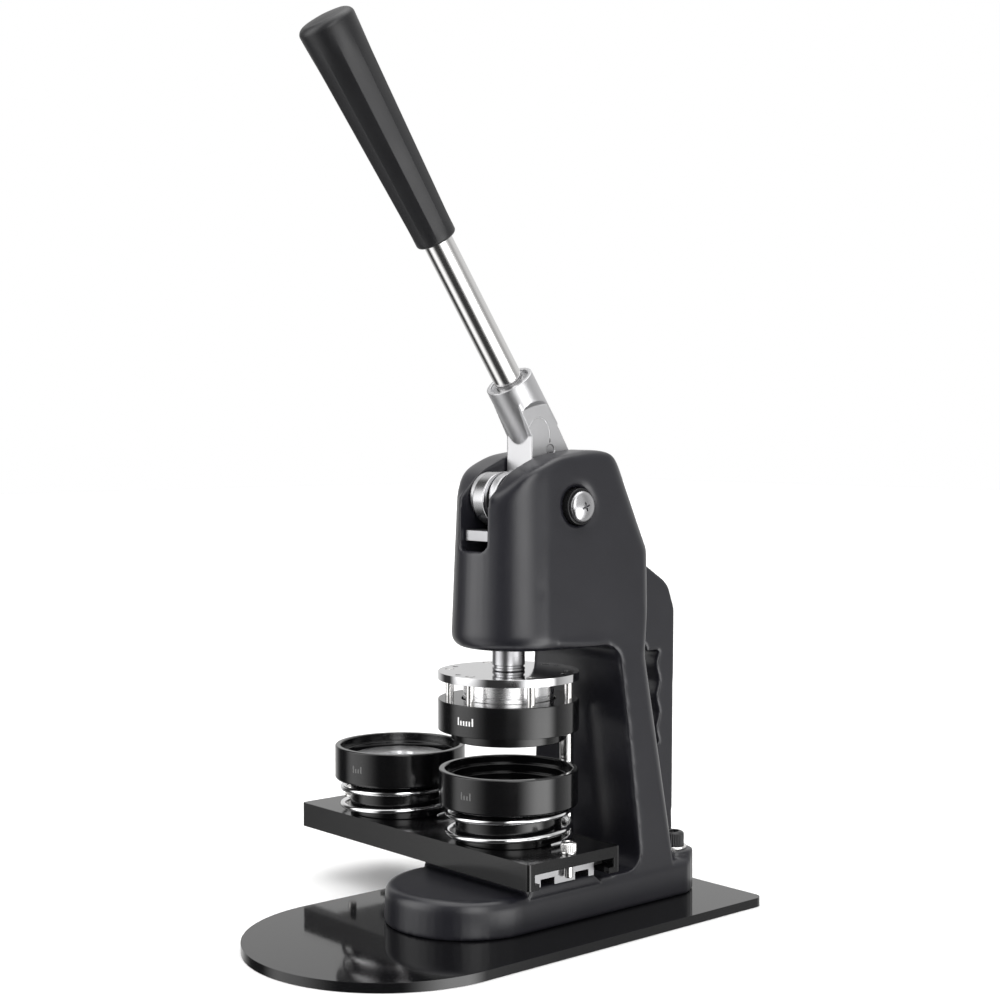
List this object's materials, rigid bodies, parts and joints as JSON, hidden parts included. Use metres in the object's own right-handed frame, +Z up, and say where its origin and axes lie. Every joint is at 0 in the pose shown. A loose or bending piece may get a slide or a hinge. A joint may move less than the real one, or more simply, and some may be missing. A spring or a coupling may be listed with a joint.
{
  "type": "button badge maker",
  "caption": "Hand lever press for pin badges: D-shaped base, black casting, roller-driven ram with a floating upper ring, and two sprung die cups on a sliding carriage.",
  "frame": {"origin": "where the ram's axis meets the surface that the press stands on", "axes": "+X to the user's right, +Y towards the back, +Z up along the ram"},
  "size_m": [0.2284, 0.285, 0.482],
  "materials": {
    "casting_black": "matte black powder coat on a cast aluminium alloy",
    "plate_black": "glossy black",
    "black_screws": "black oxide",
    "bright_steel": "bright stainless",
    "plain_steel": "ground steel",
    "chrome": "mirror",
    "bare_aluminium": "machined",
    "cast_aluminium": "satin, blasted",
    "grip_black": "matte",
    "black_plastic": "satin",
    "black_steel": "black oxide",
    "bronze": "oil-soaked bearing bronze",
    "slide_black": "satin black anodised",
    "die_black": "glossy black anodised"
  },
  "bodies": {
    "frame": {"base_plate": "plate_black", "plate_screws": "black_screws", "cast_frame": "casting_black", "rear_bolt_left": "black_screws", "rear_bolt_right": "black_screws", "bolt_washer_left": "bright_steel", "bolt_washer_right": "bright_steel", "slide_rail": "bare_aluminium", "rail_guide_front": "black_plastic", "rail_guide_rear": "black_plastic", "rail_screws": "black_screws", "pivot_bush_left": "black_steel", "pivot_bush_right": "black_steel", "pivot_pin": "plain_steel", "pivot_screw_left": "bright_steel", "pivot_screw_right": "bright_steel", "ram_guide_bush": "bronze", "stop_post": "chrome"},
    "lever": {"lever_arm": "cast_aluminium", "lever_tube": "chrome", "lever_grip": "grip_black", "roller_pin": "plain_steel", "roller_inner_race": "plain_steel", "lever_cross_pin": "plain_steel"},
    "roller": {"roller_race": "plain_steel", "roller_seals": "black_plastic"},
    "ram": {"ram_shaft": "plain_steel", "ram_head_plate": "plain_steel", "ram_head_screw": "black_screws", "upper_die_disc": "chrome", "upper_die_core": "bare_aluminium", "ram_return_spring": "black_steel"},
    "upper_ring": {"upper_die_ring": "die_black", "upper_lip_ring": "die_black", "guide_pins": "bright_steel"},
    "slide": {"slide_channel": "slide_black", "stop_screw_left": "bright_steel", "stop_screw_right": "bright_steel", "stop_washer_left": "bright_steel", "stop_washer_right": "bright_steel", "left_die_post": "die_black", "right_die_post": "die_black", "left_die_insert": "bare_aluminium", "left_die_screw": "black_screws", "right_die_screw": "black_screws", "left_die_spring": "chrome", "right_die_spring": "chrome"},
    "left_cup": {"left_cup": "die_black"},
    "right_cup": {"right_cup": "die_black"}
  },
  "joints": [
    {"name": "lever_hinge", "type": "hinge", "parent": "frame", "child": "lever", "pos_m": [0, 0.0225, 0.228], "axis": [1, 0, 0], "range_deg": [0, 56]},
    {"name": "roller_spin", "type": "hinge", "parent": "lever", "child": "roller", "pos_m": [0, -0.0074, 0.2318], "axis": [1, 0, 0], "continuous": true},
    {"name": "ram_slide", "type": "slide", "parent": "frame", "child": "ram", "axis": [0, 0, -1], "range_m": [0, 0.02637], "stiffness_N_per_m": 1200, "springref_m": -0.04, "deforming": ["ram_return_spring"]},
    {"name": "upper_ring_slide", "type": "slide", "parent": "ram", "child": "upper_ring", "axis": [0, 0, 1], "range_m": [0, 0.0091]},
    {"name": "slide_travel", "type": "slide", "parent": "frame", "child": "slide", "axis": [1, 0, 0], "range_m": [0, 0.0974]},
    {"name": "left_cup_slide", "type": "slide", "parent": "slide", "child": "left_cup", "axis": [0, 0, -1], "range_m": [0, 0.007], "stiffness_N_per_m": 1500, "springref_m": -0.008, "deforming": ["left_die_spring"]},
    {"name": "right_cup_slide", "type": "slide", "parent": "slide", "child": "right_cup", "axis": [0, 0, -1], "range_m": [0, 0.007], "stiffness_N_per_m": 1500, "springref_m": -0.008, "deforming": ["right_die_spring"]}
  ],
  "couplings": [
    {"joint": "ram_slide", "follows": "lever_hinge", "m_per_rad": 0.02688},
    {"joint": "upper_ring_slide", "follows": "lever_hinge", "m_per_rad": 0.009208}
  ]
}
